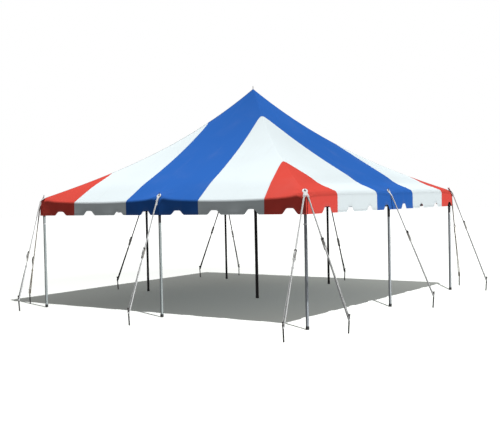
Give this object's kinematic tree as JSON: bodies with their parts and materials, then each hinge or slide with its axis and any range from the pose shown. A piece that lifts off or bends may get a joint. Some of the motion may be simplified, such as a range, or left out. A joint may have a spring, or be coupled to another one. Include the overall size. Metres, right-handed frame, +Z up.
{
  "type": "square pole tent marquee",
  "caption": "Square pole marquee: a peaked, striped fabric top with a scalloped valance on steel side poles and a tall centre pole, held down by ratchet strap guys and ground stakes.",
  "frame": {"origin": "on the ground, at the middle of the centre pole's foot", "axes": "+Z up along the centre pole; +X and -Y point through the front right and front left sides of the square top, with the front corner between them"},
  "size_m": [7.7536, 8.1121, 4.3758],
  "materials": {
    "roof_vinyl": "semi-gloss coated fabric in wide blue, white and red stripes",
    "valance_vinyl": "semi-gloss coated fabric, striped like the roof",
    "galvanised_tube": "dull galvanised steel tube",
    "plate_steel": "bright zinc-plated steel",
    "webbing": "woven polyester webbing with a dark steel ratchet",
    "stake_steel": "dark weathered steel"
  },
  "bodies": {
    "root": {"roof_front_left": "roof_vinyl", "roof_front_right": "roof_vinyl", "roof_back_right": "roof_vinyl", "roof_back_left": "roof_vinyl", "valance_front_left": "valance_vinyl", "valance_front_right": "valance_vinyl", "valance_back_right": "valance_vinyl", "valance_back_left": "valance_vinyl", "centre_pole": "galvanised_tube", "pole_left_corner": "galvanised_tube", "pole_front_left_side": "galvanised_tube", "pole_front_corner": "galvanised_tube", "pole_front_right_side": "galvanised_tube", "pole_right_corner": "galvanised_tube", "pole_back_right_side": "galvanised_tube", "pole_back_corner": "galvanised_tube", "pole_back_left_side": "galvanised_tube", "plate_left_corner": "plate_steel", "plate_front_left_side": "plate_steel", "plate_front_corner": "plate_steel", "plate_front_right_side": "plate_steel", "plate_right_corner": "plate_steel", "plate_back_right_side": "plate_steel", "plate_back_corner": "plate_steel", "plate_back_left_side": "plate_steel", "guy_left_corner_a": "webbing", "guy_left_corner_b": "webbing", "guy_front_left_side": "webbing", "guy_front_corner_a": "webbing", "guy_front_corner_b": "webbing", "guy_front_right_side": "webbing", "guy_right_corner_a": "webbing", "guy_right_corner_b": "webbing", "guy_back_right_side": "webbing", "guy_back_corner_a": "webbing", "guy_back_corner_b": "webbing", "guy_back_left_side": "webbing", "stake_left_corner_a": "stake_steel", "stake_left_corner_b": "stake_steel", "stake_front_left_side": "stake_steel", "stake_front_corner_a": "stake_steel", "stake_front_corner_b": "stake_steel", "stake_front_right_side": "stake_steel", "stake_right_corner_a": "stake_steel", "stake_right_corner_b": "stake_steel", "stake_back_right_side": "stake_steel", "stake_back_corner_a": "stake_steel", "stake_back_corner_b": "stake_steel", "stake_back_left_side": "stake_steel"}
  },
  "joints": []
}
